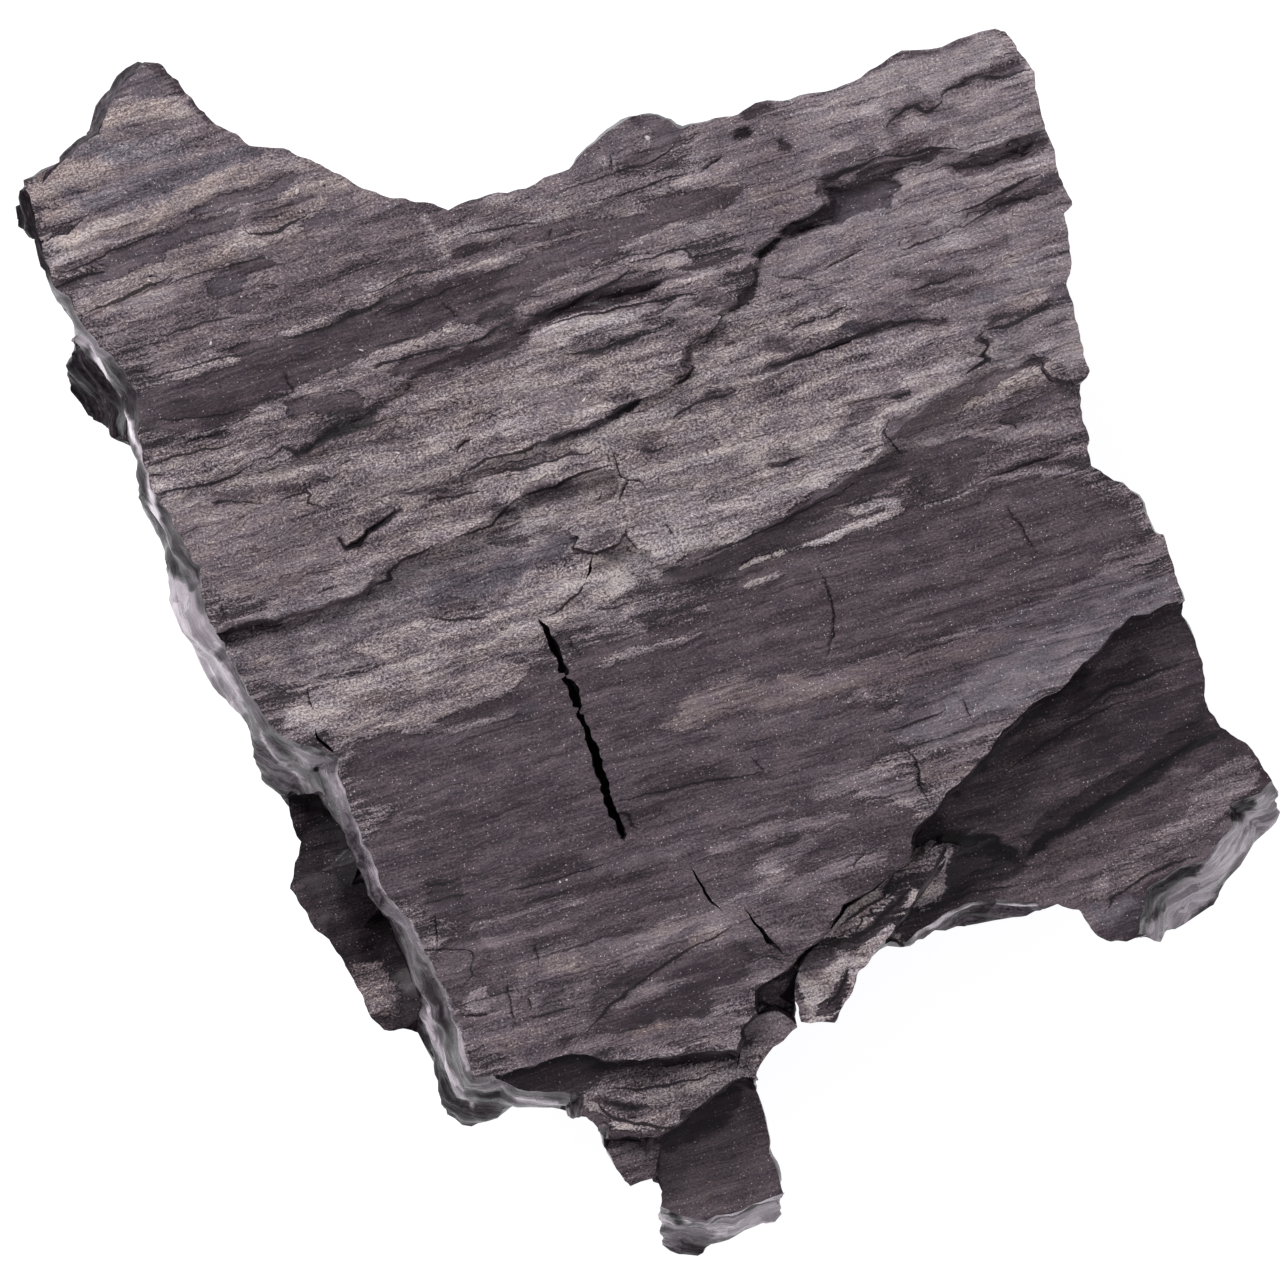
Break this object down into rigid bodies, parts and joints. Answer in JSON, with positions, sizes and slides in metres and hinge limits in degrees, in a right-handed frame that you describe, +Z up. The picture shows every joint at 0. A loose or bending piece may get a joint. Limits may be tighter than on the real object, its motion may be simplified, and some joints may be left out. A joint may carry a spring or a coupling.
{
  "type": "raw jet specimen",
  "caption": "Broken slab of raw jet: thin plates of matt, wood-grained fossil wood stepped on top, with glossy shell-like fractured sides and a flat, faceted underside.",
  "frame": {"origin": "centre of the bounding box in plan, on the surface that the slab rests on", "axes": "+X to the viewer's right when the wood-grained face is seen from above with the pointed horn at the back left, +Y away, +Z up through the slab's thickness"},
  "size_m": [0.064, 0.062, 0.0186],
  "materials": {
    "raw_jet": "matt, dusty brown-grey to black wood grain on top, glossy black where it is freshly broken"
  },
  "bodies": {
    "root": {"jet": "raw_jet"}
  },
  "joints": []
}
